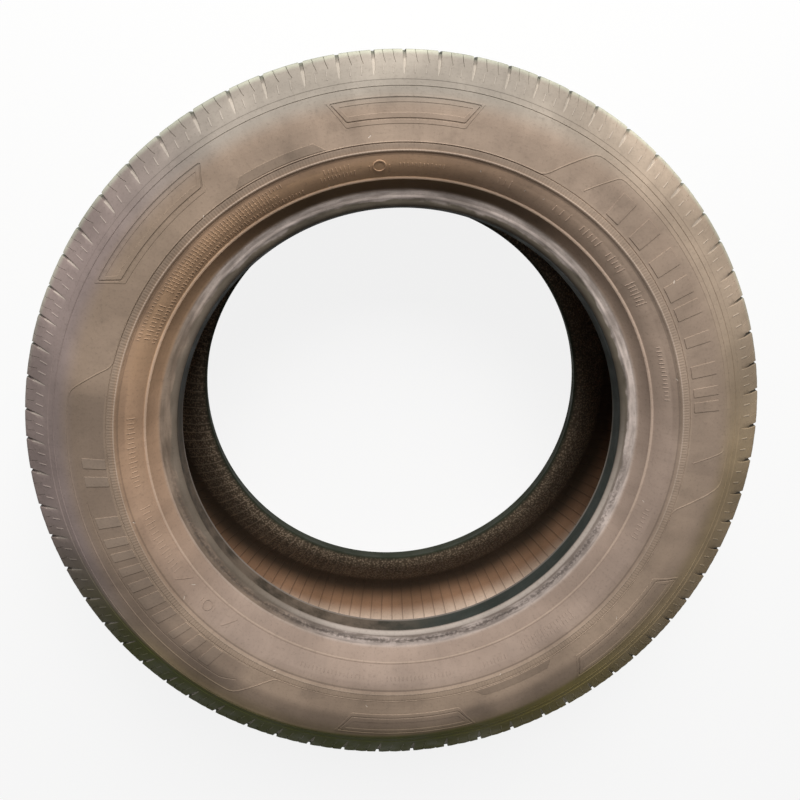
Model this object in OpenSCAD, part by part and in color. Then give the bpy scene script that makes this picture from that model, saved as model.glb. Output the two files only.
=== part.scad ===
// Old worn radial tyre for a light van, off its rim, lying on one sidewall.
// Millimetres, +Z up along the tyre's axis. The origin is on the axis, on the surface that the tyre lies on.

/* [Overall] */
// Outside diameter over the worn tread
tyre_d = 676; // [640:1:780]
// Overall width over the two mid ribs, which is also the height of the tyre as it lies
section_w = 217; // [200:1:250]
// Diameter of the rim's seat that each bead grips
rim_d = 405.6; // [360:0.1:430]
// Distance between the outer faces of the two beads
bead_span = 160; // [140:1:180]

/* [Bead] */
// Width of a bead's base, from its heel to its toe
bead_w = 19; // [16:0.5:23]
// Length of the cylindrical land next to the heel
land_w = 6; // [4:0.5:8]
// Radius of the heel
heel_r = 5; // [3:0.5:7]
// How much smaller the toe's radius is than the seat's
toe_drop = 1.6; // [0.8:0.1:3]
// Thickness of the bead, measured along the axis, above the base
bead_t = 17; // [14:0.5:20]

/* [Sidewall] */
// Thickness of the wall where the tyre is widest
wall_t = 8; // [6:0.5:11]
// Thickness of the wall at the top of the bead filler
filler_t = 11; // [9:0.5:14]
// Height above the rim's seat at which the wall turns up round the rim's flange
flange_h = 13.5; // [11:0.5:16]
// Height of the rim line above the rim's seat
rim_line_h = 24.5; // [22:0.5:30]
// How far the rim line lies outside the bead's outer face
rim_line_out = 11.5; // [8:0.5:15]
// Height of the mid rib above the rim's seat
mid_rib_h = 49.5; // [42:0.5:58]
// Width of the mid rib's flat crest, which is what the tyre rests on
mid_rib_w = 6.4; // [3:0.2:8]
// How far the mid rib stands out of the wall
mid_rib_up = 1.2; // [0.8:0.1:2]
// Width of each thin ring line
line_w = 1.6; // [1:0.1:2.5]
// How far the rim line stands out of the wall, and how deep the outer ring line is cut into it
line_up = 0.7; // [0.4:0.1:1.2]
// Depth of the outer ring line below the top of the tread
outer_line_drop = 37; // [32:0.5:44]

/* [Tread] */
// Width of the tread
tread_w = 172; // [150:1:180]
// Fall of the crown from the middle to the shoulder
crown_drop = 6.5; // [3:0.5:10]
// Rounding of the worn shoulder edge
shoulder_r = 5; // [3:0.5:8]
// Casing, belts and rubber left under the grooves
crown_t = 10.5; // [8:0.5:14]
// Depth left in the worn grooves
groove_depth = 4.5; // [3:0.5:8]
// Width of each groove that runs round the tread
groove_w = 8.5; // [6:0.5:12]
// How far each groove's wall leans in from its edge to its floor
groove_draft = 1; // [0.4:0.2:2]
// Distance from the middle to the two inner grooves
inner_groove_z = 20; // [14:1:26]
// Distance from the middle to the two outer grooves
outer_groove_z = 55; // [46:1:64]
// Number of shoulder blocks round each side
pitches = 68; // [48:1:80]
// Width of the slots between the shoulder blocks
slot_w = 4.6; // [3:0.2:7]
// How far down the buttress the slots fade out
slot_fade = 24; // [12:1:26]
// Number of wear bars round each groove
wear_bars = 6; // [4:1:8]
// Height of the wear bars
wear_bar_up = 1.6; // [1:0.2:2.4]
// Length of the wear bars along the groove
wear_bar_l = 12; // [6:1:20]

/* [Hidden] */
// Half sizes, as radii and as distances from the middle plane
tyre_r = tyre_d / 2;
seat_r = rim_d / 2;
half_w = section_w / 2;
half_bead = bead_span / 2;
half_tread = tread_w / 2;
wall_z = half_w - mid_rib_up;
rim_line_r = seat_r + rim_line_h;
rim_line_z = half_bead + rim_line_out;
outer_line_r = tyre_r - outer_line_drop;
// On a low wall the mid rib stays clear of the outer ring line
mid_rib_r = min(seat_r + mid_rib_h, outer_line_r - 12);
liner_r = tyre_r - groove_depth - crown_t;
// Fall of the liner from the middle to the edge of the belts
liner_drop = crown_drop * 0.6;
// Block lengths that keep a tread quiet, short, middle and long, and the order in which they come
BLOCK_LENGTHS = [["S", 0.85], ["M", 0.98], ["L", 1.12]];
BLOCK_ORDER = "LSMLSMMLLLLSMSMMMSMMLMLLLLLSMSSMMSMLMLLMSSMSMLMLLLLLLLLSMSSSSSMMMMLL";
// Lean of the wall at the rim line, from the plane across the axis
LEAN = 32;
// Points on each curve of the section
CURVE_STEPS = 9;
// Clearance by which a cutter passes the surface that it cuts
OVER = 12;
RUBBER = [0.13, 0.12, 0.115];
$fn = 180;

// Points on a quadratic curve from p to q that leaves and arrives along the lines to c
function curve(p, c, q, n = CURVE_STEPS) =
    [for (i = [0:n]) let (t = i / n) (1 - t) * (1 - t) * p + 2 * t * (1 - t) * c + t * t * q];

// Radius of the worn crown at a distance z from the middle plane
function crown_at(z) = tyre_r - crown_drop * pow(z / half_tread, 2);

// One groove that runs round the tread, as a notch in the crown's outline
function groove(z) =
    let (a = z - groove_w / 2, b = z + groove_w / 2)
    [
        [crown_at(a), a],
        [crown_at(a) - groove_depth, a + groove_draft],
        [crown_at(b) - groove_depth, b - groove_draft],
        [crown_at(b), b]
    ];

// The crown from z0 up to, but without, z1
function crown(z0, z1, n = 4) = [for (i = [0:n - 1]) let (z = z0 + (z1 - z0) * i / n) [crown_at(z), z]];

// The tread from the middle plane to the shoulder's rounding
function rib_after(z0, z1) = [for (p = crown(z0, z1)) if (p[1] > z0) p];
function tread_line() = concat(
    crown(0, inner_groove_z - groove_w / 2),
    groove(inner_groove_z),
    rib_after(inner_groove_z + groove_w / 2, outer_groove_z - groove_w / 2),
    groove(outer_groove_z),
    rib_after(outer_groove_z + groove_w / 2, half_tread - shoulder_r)
);

// The foot of the shoulder, where the buttress starts
shoulder_foot = [tyre_r - crown_drop - shoulder_r, half_tread + shoulder_r / 3];
// The widest place of the wall, half way between its two ribs
widest = [(mid_rib_r + outer_line_r) / 2, wall_z];

// The upper sidewall's curve, from the shoulder to the widest place
function upper_wall() = curve(shoulder_foot, [outer_line_r - 2, wall_z + 1], widest, 2 * CURVE_STEPS);

// A thin ring line on the wall at point p, whose outward normal is n. It stands out by up, or is cut in where
// up is negative.
function ring_line(p, n, w, up) =
    let (d = [-n[1], n[0]], foot = w / 2 + abs(up))
    [p - d * foot, p - d * w / 2 + n * up, p + d * w / 2 + n * up, p + d * foot];

// The upper sidewall on each side of the outer ring line, and the line itself, a shallow groove
function wall_above() = [for (p = upper_wall()) if (p[0] > outer_line_r + 2 * line_w) p];
function wall_below() = [for (p = upper_wall()) if (p[0] < outer_line_r - 2 * line_w) p];
function outer_line() =
    let (a = wall_above()[len(wall_above()) - 1], b = wall_below()[0])
    let (d = (b - a) / norm(b - a), share = (a[0] - outer_line_r) / (a[0] - b[0]))
    ring_line(a + (b - a) * share, [d[1], -d[0]], line_w, -line_up);

// The mid rib, with the flat crest that the tyre rests on. The wall falls away a little on each side of it.
function mid_rib() = [
    [mid_rib_r + mid_rib_w / 2 + mid_rib_up, wall_z - 0.8],
    [mid_rib_r + mid_rib_w / 2, half_w],
    [mid_rib_r - mid_rib_w / 2, half_w],
    [mid_rib_r - mid_rib_w / 2 - mid_rib_up, wall_z - 1.6]
];

// The lower sidewall, from the mid rib to the rim line
function lower_wall() =
    let (top = mid_rib()[3], foot = [rim_line_r + line_w, rim_line_z + line_w * tan(LEAN)])
    curve(top, (top + foot) / 2 + [-1, 1], foot, 6);

// The rim line, which shows a fitter that the tyre sits true
function rim_line() = ring_line([rim_line_r, rim_line_z], [-sin(LEAN), cos(LEAN)], line_w, line_up);

// The hollow that the rim's flange fills
function flange_seat() = curve(
    [rim_line_r - line_w, rim_line_z - line_w],
    [seat_r + flange_h + 3, half_bead],
    [seat_r + flange_h, half_bead]
);

// The heel, the cylindrical land, the taper and the toe
function bead_base() = concat(
    [for (a = [0:15:90]) [seat_r + heel_r * (1 - sin(a)), half_bead - heel_r * (1 - cos(a))]],
    [
        [seat_r, half_bead - heel_r - land_w],
        [seat_r - toe_drop, half_bead - bead_w + 1],
        [seat_r - toe_drop + 0.8, half_bead - bead_w]
    ]
);

// The liner, from the toe to the middle plane
function liner() =
    let (
        bead_top = [seat_r + 12, half_bead - bead_t],
        filler_top = [mid_rib_r - 2, wall_z - 1.3 * filler_t],
        wide = [widest[0], wall_z - wall_t],
        shoulder = [outer_line_r - 6, wall_z - wall_t - 1.5],
        belt_edge = [liner_r - liner_drop, half_tread - 24]
    )
    concat(
        curve([seat_r + 3, half_bead - bead_w - 0.4], [seat_r + 8, half_bead - bead_w], bead_top, 4),
        curve(bead_top, [2 * bead_top[0] - seat_r, bead_top[1] + 7], filler_top, 7),
        curve(filler_top, [mid_rib_r + 5, wall_z - wall_t], wide, 4),
        curve(wide, [(wide[0] + shoulder[0]) / 2, wall_z - wall_t + 0.4], shoulder, 4),
        curve(shoulder, [belt_edge[0] - 1, min(shoulder[1] - 3, half_tread + 9)], belt_edge),
        [for (t = [0.75, 0.5, 0.25, 0]) [liner_r - liner_drop * t * t, t * belt_edge[1]]]
    );

// Half of the section above the middle plane, as [radius, distance from that plane]
function half_section() = concat(
    tread_line(),
    curve([crown_at(half_tread - shoulder_r), half_tread - shoulder_r],
        [crown_at(half_tread), half_tread], shoulder_foot, 4),
    wall_above(),
    outer_line(),
    wall_below(),
    mid_rib(),
    lower_wall(),
    rim_line(),
    flange_seat(),
    bead_base(),
    liner()
);

// The whole section: the half and its mirror image
function section() =
    let (h = half_section())
    concat(h, [for (i = [len(h) - 2:-1:1]) [h[i][0], -h[i][1]]]);

// Angle at which each shoulder block starts, from the running sum of the block lengths
function block_length(i) =
    let (letter = BLOCK_ORDER[i % len(BLOCK_ORDER)])
    BLOCK_LENGTHS[search(letter, BLOCK_LENGTHS)[0]][1];
function length_to(i) = i <= 0 ? 0 : length_to(i - 1) + block_length(i - 1);
function block_angle(i) = 360 * length_to(i) / length_to(pitches);

// A slot between two shoulder blocks: level under the tread, then rising to fade out on the buttress
module slot() {
    floor_r = crown_at(half_tread) - groove_depth;
    fade_r = tyre_r - crown_drop - slot_fade;
    fade = [fade_r, lookup(fade_r, upper_wall()) + 0.1];
    rotate([90, 0, 0])
        linear_extrude(slot_w, center = true)
            polygon([
                [floor_r, outer_groove_z + 1],
                [floor_r, half_tread - 2],
                fade,
                fade + [OVER, OVER],
                [tyre_r + OVER, half_tread + OVER],
                [tyre_r + OVER, outer_groove_z + 1]
            ]);
}

// The slots of both shoulders; the lower ones lie half a block further round
module slots() {
    for (i = [0:pitches - 1]) {
        rotate([0, 0, block_angle(i)])
            slot();
        rotate([0, 0, block_angle(i) + 180 / pitches])
            mirror([0, 0, 1])
                slot();
    }
}

// Wear bars across the floors of the grooves
module bars() {
    for (z = [-outer_groove_z, -inner_groove_z, inner_groove_z, outer_groove_z])
        for (i = [0:wear_bars - 1])
            rotate([0, 0, 360 * i / wear_bars + 12])
                translate([crown_at(z) - groove_depth - 2, -wear_bar_l / 2, z - groove_w / 2 - 0.5])
                    cube([2 + wear_bar_up, wear_bar_l, groove_w + 1]);
}

// The tyre: one vulcanised piece, lying flat on the crest of its mid rib
module tyre() {
    color(RUBBER)
        translate([0, 0, half_w]) {
            difference() {
                rotate_extrude()
                    polygon(section());
                slots();
            }
            bars();
        }
}

tyre();
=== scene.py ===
import math

import bmesh
import bpy
import numpy as np
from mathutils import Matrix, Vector
from mathutils.geometry import delaunay_2d_cdt

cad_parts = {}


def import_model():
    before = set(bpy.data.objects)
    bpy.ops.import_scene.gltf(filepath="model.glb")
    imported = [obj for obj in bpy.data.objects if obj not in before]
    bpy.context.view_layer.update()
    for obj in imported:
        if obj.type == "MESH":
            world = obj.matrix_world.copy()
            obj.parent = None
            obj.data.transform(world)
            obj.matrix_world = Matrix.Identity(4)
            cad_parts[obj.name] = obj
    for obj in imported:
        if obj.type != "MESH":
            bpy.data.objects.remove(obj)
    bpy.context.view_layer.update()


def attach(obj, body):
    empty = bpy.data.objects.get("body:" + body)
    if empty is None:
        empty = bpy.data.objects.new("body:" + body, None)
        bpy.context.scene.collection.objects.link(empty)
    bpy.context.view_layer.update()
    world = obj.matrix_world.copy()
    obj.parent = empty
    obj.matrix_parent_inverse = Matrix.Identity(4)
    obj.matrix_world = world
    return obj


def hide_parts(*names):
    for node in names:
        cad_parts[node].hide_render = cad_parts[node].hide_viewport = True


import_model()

# ---------------------------------------------------------------- sizes, in millimetres
MM = 0.001
TYRE_R = 338.0          # outside radius of the worn tread
HALF_W = 108.5          # half the width over the mid ribs
MIDDLE_Z = HALF_W       # height of the tyre's middle plane above the floor
SEAT_R = 202.8
HALF_BEAD = 80.0
BEAD_W = 19.0
BEAD_T = 17.0
LAND_W = 6.0
HEEL_R = 5.0
TOE_DROP = 1.6
MID_RIB_UP = 0.5
MID_RIB_R = SEAT_R + 49.5
MID_RIB_W = 6.4
RIM_LINE_R = SEAT_R + 24.5
RIM_LINE_Z = HALF_BEAD + 11.5
RIM_LINE_LEAN = math.radians(32)
FLANGE_H = 13.5
LINE_W = 1.6
LINE_UP = 0.7
OUTER_LINE_R = TYRE_R - 37
WALL_Z = HALF_W - MID_RIB_UP
LINER_Z = 99.3          # inner face of a wall where it is thinnest
FILLER_Z = 93.0         # inner face over the filler above the bead
HALF_TREAD = 86.0
CROWN_DROP = 6.5
CROWN_T = 10.5
SHOULDER_R = 5.0
GROOVE_DEPTH = 4.5
GROOVE_W = 8.5
GROOVE_DRAFT = 1.0
INNER_GROOVE_Z = 20.0
OUTER_GROOVE_Z = 55.0
SLOT_W = 4.6
WEAR_BARS = 6
WEAR_BAR_UP = 1.6
BLOCK_LENGTHS = {"S": 0.85, "M": 0.98, "L": 1.12}
BLOCK_ORDER = "LSMLSMMLLLLSMSMMMSMMLMLLLLLSMSSMMSMLMLLMSSMSMLMLLLLLLLLSMSSSSSMMMMLL"
BLOCK_FOOT_R = 307.0    # where the shoulder blocks end and the plain wall begins
FLAT_R = 265.0          # radius where a sidewall's flat layout has its true length


# ---------------------------------------------------------------- the section
def curve(p, c, q, steps):
    """Points on a quadratic curve from p to q that leaves and arrives along the lines to c."""
    points = []
    for i in range(steps + 1):
        t = i / steps
        a, b, d = (1 - t) ** 2, 2 * t * (1 - t), t * t
        points.append((a * p[0] + b * c[0] + d * q[0], a * p[1] + b * c[1] + d * q[1]))
    return points


def crown_at(z):
    return TYRE_R - CROWN_DROP * (z / HALF_TREAD) ** 2


SHOULDER_FOOT = (TYRE_R - CROWN_DROP - SHOULDER_R, HALF_TREAD + SHOULDER_R / 3)
WIDEST = ((MID_RIB_R + OUTER_LINE_R) / 2, WALL_Z)


def tread_half():
    """The crown from the middle plane to the foot of the shoulder, without its grooves."""
    edge = HALF_TREAD - SHOULDER_R
    crown = [(crown_at(edge * i / 30), edge * i / 30) for i in range(30)]
    corner = curve((crown_at(edge), edge), (crown_at(HALF_TREAD), HALF_TREAD), SHOULDER_FOOT, 10)
    return crown + corner[:-1]


def upper_wall():
    return curve(SHOULDER_FOOT, (OUTER_LINE_R - 2, WALL_Z + 1), WIDEST, 48)[:-1]


def rib_and_below():
    """The mid rib, the wall below it and the rim line, and then only the corners among them."""
    outer = MID_RIB_R + MID_RIB_W / 2
    inner = MID_RIB_R - MID_RIB_W / 2
    lip = (outer + 1.1, WALL_Z)
    shelf = curve(WIDEST, ((WIDEST[0] + lip[0]) / 2, WALL_Z), lip, 6)[:-1]
    rib = [lip, (outer + 0.6, WALL_Z - 0.5), (outer + 0.2, WALL_Z - 0.4), (outer, HALF_W - 0.1)]
    rib += [(outer - 0.5, HALF_W - 0.1), (inner + 1.7, HALF_W - 0.35), (inner + 1.0, HALF_W)]
    rib += [(inner + 0.5, HALF_W), (inner, HALF_W - 0.25)]
    top = (inner - 1.3, WALL_Z - 1.3)
    low = (RIM_LINE_R + LINE_W, RIM_LINE_Z + LINE_W * math.tan(RIM_LINE_LEAN))
    lower = curve(top, (top[0] - 10.2, top[1] - 3.0), low, 14)
    along = (math.cos(RIM_LINE_LEAN), math.sin(RIM_LINE_LEAN))
    crest = []
    for step in (0.4 * LINE_W, -0.4 * LINE_W):
        r = RIM_LINE_R + along[0] * step - along[1] * LINE_UP
        crest.append((r, RIM_LINE_Z + along[1] * step + along[0] * LINE_UP))
    corners = rib + [lower[0], lower[-1]] + crest
    return shelf + rib + lower + crest, corners


def bead_half():
    """From just inside the rim line over the flange seat, the heel and the base to the toe."""
    start = (RIM_LINE_R - LINE_W, RIM_LINE_Z - LINE_W)
    bend = (SEAT_R + FLANGE_H + 3.6, HALF_BEAD + 1.8)
    seat = [start] + curve(bend, (SEAT_R + FLANGE_H + 2.3, HALF_BEAD), (SEAT_R + FLANGE_H, HALF_BEAD), 8)
    band = [
        (SEAT_R + 11.3, HALF_BEAD), (SEAT_R + 10.7, HALF_BEAD - 0.25), (SEAT_R + 10.0, HALF_BEAD - 0.25),
        (SEAT_R + 9.4, HALF_BEAD), (SEAT_R + 7.8, HALF_BEAD), (SEAT_R + 7.2, HALF_BEAD - 0.2),
    ]
    heel = []
    for i in range(9):
        a = math.radians(90 * i / 8)
        heel.append((SEAT_R + HEEL_R * (1 - math.sin(a)), HALF_BEAD - HEEL_R * (1 - math.cos(a))))
    base = [
        (SEAT_R, HALF_BEAD - HEEL_R - LAND_W),
        (SEAT_R - TOE_DROP, HALF_BEAD - BEAD_W + 1),
        (SEAT_R - TOE_DROP + 0.8, HALF_BEAD - BEAD_W),
    ]
    return seat + band + heel + base


def liner_half():
    """From the toe along the inside to the middle plane."""
    liner_r = TYRE_R - GROOVE_DEPTH - CROWN_T
    drop = CROWN_DROP * 0.6
    bead_top = (SEAT_R + 12, HALF_BEAD - BEAD_T)
    filler_top = (MID_RIB_R - 2, FILLER_Z)
    wide = (WIDEST[0], LINER_Z)
    shoulder = (OUTER_LINE_R - 6, LINER_Z - 1.5)
    belt_edge = (liner_r - drop, HALF_TREAD - 24)
    points = curve((SEAT_R + 3, HALF_BEAD - BEAD_W - 0.4), (SEAT_R + 8, HALF_BEAD - BEAD_W), bead_top, 4)
    points += curve(bead_top, (2 * bead_top[0] - SEAT_R, bead_top[1] + 7), filler_top, 5)[1:]
    points += curve(filler_top, (MID_RIB_R + 5, LINER_Z), wide, 3)[1:]
    points += curve(wide, ((wide[0] + shoulder[0]) / 2, LINER_Z + 0.4), shoulder, 3)[1:]
    points += curve(shoulder, (belt_edge[0] - 1, shoulder[1] - 3), belt_edge, 6)[1:]
    points += [(liner_r - drop * t * t, t * belt_edge[1]) for t in (0.66, 0.33, 0.0)]
    return points


class Profile:
    """A line in the section, measured along its length from the middle plane."""

    def __init__(self, points):
        xy = np.array(points)
        self.r, self.z = xy[:, 0], xy[:, 1]
        self.s = np.concatenate([[0.0], np.cumsum(np.hypot(np.diff(self.r), np.diff(self.z)))])
        before = np.vstack([[xy[1, 0], -xy[1, 1]], xy[:-1]])
        after = np.vstack([xy[1:], xy[-1:]])
        along = after - before
        size = np.hypot(along[:, 0], along[:, 1])
        self.nr, self.nz = along[:, 1] / size, -along[:, 0] / size

    def at(self, s, up=0.0):
        """Radius and distance from the middle plane at lengths s, raised by up.

        Below the plane s is negative.
        """
        a = np.abs(s)
        nr, nz = np.interp(a, self.s, self.nr), np.interp(a, self.s, self.nz)
        size = np.hypot(nr, nz)
        r = np.interp(a, self.s, self.r) + up * nr / size
        z = np.interp(a, self.s, self.z) + up * nz / size
        return r, z * np.where(np.asarray(s) < 0, -1.0, 1.0)

    def of_z(self, z):
        crown = self.s <= self.s[38]
        return float(np.interp(z, self.z[crown], self.s[crown]))

    def of_r(self, r):
        wall = self.s >= self.s[30]
        return float(np.interp(-r, -self.r[wall], self.s[wall]))


RIB_AND_BELOW, CORNERS = rib_and_below()
WALL_LINE = tread_half() + upper_wall() + RIB_AND_BELOW
OUTSIDE = Profile(WALL_LINE + bead_half())
TREAD_END = OUTSIDE.of_r(BLOCK_FOOT_R)
WALL_END = float(OUTSIDE.s[len(WALL_LINE)])


# ---------------------------------------------------------------- flat layouts
def refined(path, closed=False, step=5.0):
    """The same line with points no further apart than step."""
    ends = path[1:] + path[:1] if closed else path[1:]
    points = []
    for a, b in zip(path, ends):
        count = max(1, math.ceil(math.dist(a, b) / step - 0.2))
        for i in range(count):
            x = a[0] + (b[0] - a[0]) * i / count
            y = a[1] + (b[1] - a[1]) * i / count
            points.append((x, y))
    return points if closed else points + [path[-1]]


def bent(path, radius, closed=False):
    """The same line with its corners rounded."""
    points = []
    last = len(path) - 1
    for i, p in enumerate(path):
        if not closed and i in (0, last):
            points.append(p)
            continue
        a, b = path[i - 1], path[(i + 1) % len(path)]
        cut = min(radius, 0.45 * math.dist(a, p), 0.45 * math.dist(p, b))
        start = [p[k] + (a[k] - p[k]) * cut / math.dist(a, p) for k in (0, 1)]
        end = [p[k] + (b[k] - p[k]) * cut / math.dist(p, b) for k in (0, 1)]
        points += curve(start, p, end, 3)
    return points


def offset(path, by, closed=False):
    """The line moved to its left by a distance, with mitred corners."""
    count = len(path)
    points = []
    for i, p in enumerate(path):
        a = path[i - 1] if closed or i else None
        b = path[(i + 1) % count] if closed or i < count - 1 else None
        sides = []
        for u, v in ((a, p), (p, b)):
            if u is not None and v is not None and math.dist(u, v) > 1e-9:
                size = math.dist(u, v)
                sides.append((-(v[1] - u[1]) / size, (v[0] - u[0]) / size))
        n = [sum(side[k] for side in sides) / len(sides) for k in (0, 1)]
        stretch = 1 / max(n[0] ** 2 + n[1] ** 2, 0.25)
        points.append((p[0] + n[0] * by * stretch, p[1] + n[1] * by * stretch))
    return points


def turn_area(path):
    pairs = zip(path, path[1:] + path[:1])
    return sum(a[0] * b[1] - b[0] * a[1] for a, b in pairs) / 2


def distance(xs, ys, path, closed):
    """How far each place is from a line, and whether a closed line goes round it."""
    best = np.full(len(xs), 1e9)
    inside = np.zeros(len(xs), bool)
    for a, b in zip(path, path[1:] + path[:1] if closed else path[1:]):
        dx, dy = b[0] - a[0], b[1] - a[1]
        t = np.clip(((xs - a[0]) * dx + (ys - a[1]) * dy) / (dx * dx + dy * dy + 1e-12), 0, 1)
        best = np.minimum(best, np.hypot(xs - a[0] - t * dx, ys - a[1] - t * dy))
        if closed and dy:
            crosses = (a[1] > ys) != (b[1] > ys)
            inside ^= crosses & (xs < a[0] + (ys - a[1]) * dx / dy)
    return best, inside


def box_of(path, margin):
    xs, ys = [p[0] for p in path], [p[1] for p in path]
    return min(xs) - margin, max(xs) + margin, min(ys) - margin, max(ys) + margin


class Stroke:
    """A line with a flat crest and sloping sides that stands out, or is cut in if up is negative."""

    def __init__(self, path, width, slope, up, closed=False, capped=True, tone=0.0):
        self.path, self.closed, self.tone = refined(path, closed), closed, tone
        self.half, self.slope, self.up = width / 2, slope, up
        self.box = box_of(path, self.half + slope)
        self.outlines = []
        for reach in (self.half, self.half + slope):
            line, end = self.path, reach - self.half
            if not closed and capped and end:
                first = self.beyond(line[1], line[0], end)
                final = self.beyond(line[-2], line[-1], end)
                line = [first] + line[1:-1] + [final]
            left, right = offset(line, reach, closed), offset(line, -reach, closed)
            if closed or not capped:
                self.outlines += [(left, closed)] + ([(right, closed)] if reach else [])
            elif reach:
                self.outlines.append((left + right[::-1], True))
            else:
                self.outlines.append((line, False))

    @staticmethod
    def beyond(a, b, by):
        size = math.dist(a, b)
        return b[0] + (b[0] - a[0]) * by / size, b[1] + (b[1] - a[1]) * by / size

    def height(self, xs, ys):
        away, _ = distance(xs, ys, self.path, self.closed)
        return self.up * np.clip((self.half + self.slope - away) / self.slope, 0, 1)


class Patch:
    """A flat area with sloping edges that stands out, or is cut in if up is negative."""

    def __init__(self, path, slope, up, tone=0.0):
        self.path, self.tone = refined(path, True), tone
        if turn_area(self.path) < 0:
            self.path.reverse()
        self.slope, self.up = slope, up
        self.box = box_of(path, 0.01)
        self.outlines = [(self.path, True), (offset(self.path, slope, True), True)]

    def height(self, xs, ys):
        away, inside = distance(xs, ys, self.path, True)
        return self.up * np.where(inside, np.clip(away / self.slope, 0, 1), 0.0)


class Ring:
    """A band all the way across the layout, flat between sloping sides."""

    def __init__(self, low, high, slope, up, width, count, tone=0.0):
        self.low, self.high, self.slope, self.up, self.tone = low, high, slope, up, tone
        self.box = (-1.0, width + 1.0, low - slope - 0.01, high + slope + 0.01)
        xs = [width * i / count for i in range(count + 1)]
        levels = (low - slope, low, high, high + slope)
        self.outlines = [([(x, y) for x in xs], False) for y in levels]

    def height(self, xs, ys):
        away = np.maximum(self.low - ys, ys - self.high)
        return self.up * np.clip((self.slope - away) / self.slope, 0, 1)


class Slot:
    """A slot between two shoulder blocks. It is deep under the tread and runs out down the buttress.

    Each stop down its length has its own depth, half width, width of the gently sloping side and lean.
    """

    WALL = 0.4      # width of a steep side
    up = -GROOVE_DEPTH
    tone = 0.0

    def __init__(self, x, side):
        self.x, self.side = x, side
        self.start = OUTSIDE.of_z(OUTER_GROOVE_Z + GROOVE_W / 2 - GROOVE_DRAFT)
        self.end = OUTSIDE.of_r(308.6)
        self.stops = [self.start] + [OUTSIDE.of_z(z) for z in (OUTER_GROOVE_Z + 8, 70.0, 79.0, 84.0)]
        self.stops += [OUTSIDE.of_r(r) for r in (326.0, 322.0, 317.0, 312.0, 308.6)]
        self.depths = [GROOVE_DEPTH] * 3 + [2.9, 2.0, 1.6, 1.3, 1.0, 0.6, 0.0]
        self.halves = [SLOT_W / 2] * 3 + [2.0, 1.7, 1.6, 1.7, 1.6, 1.1, 0.5]
        self.flares = [self.WALL] * 5 + [0.5, 1.6, 2.0, 1.6, 0.5]
        self.leans = [0.0] * 5 + [0.1, 0.4, 0.9, 1.5, 2.0]
        self.outlines = []
        for edge in ("left", "left_floor", "right_floor", "right"):
            line = [(self.place(edge, s), side * s) for s in self.stops]
            self.outlines.append((line, False))
        reach = SLOT_W / 2 + 6
        ends = sorted((side * self.start, side * self.end))
        self.box = (x - reach, x + reach, ends[0] - 0.01, ends[1] + 0.01)

    def shape(self, s):
        table = (self.depths, self.halves, self.flares, self.leans)
        return [np.interp(s, self.stops, row) for row in table]

    def place(self, edge, s):
        _, half, flare, lean = self.shape(s)
        steps = {
            "left": -half,
            "left_floor": -half + self.WALL,
            "right_floor": max(half - flare, -half + self.WALL + 0.15),
            "right": half,
        }
        return float(self.x + self.side * (lean + steps[edge]))

    def height(self, xs, ys):
        s = np.abs(ys)
        depth, half, flare, lean = self.shape(s)
        across = self.side * (xs - self.x) - lean
        left = (across + half) / self.WALL
        floor = np.maximum(half - flare, -half + self.WALL + 0.15)
        right = (half - across) / np.maximum(half - floor, 0.05)
        side = np.clip(np.minimum(left, right), 0, 1)
        return -depth * side * (self.side * ys > 0)


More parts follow.
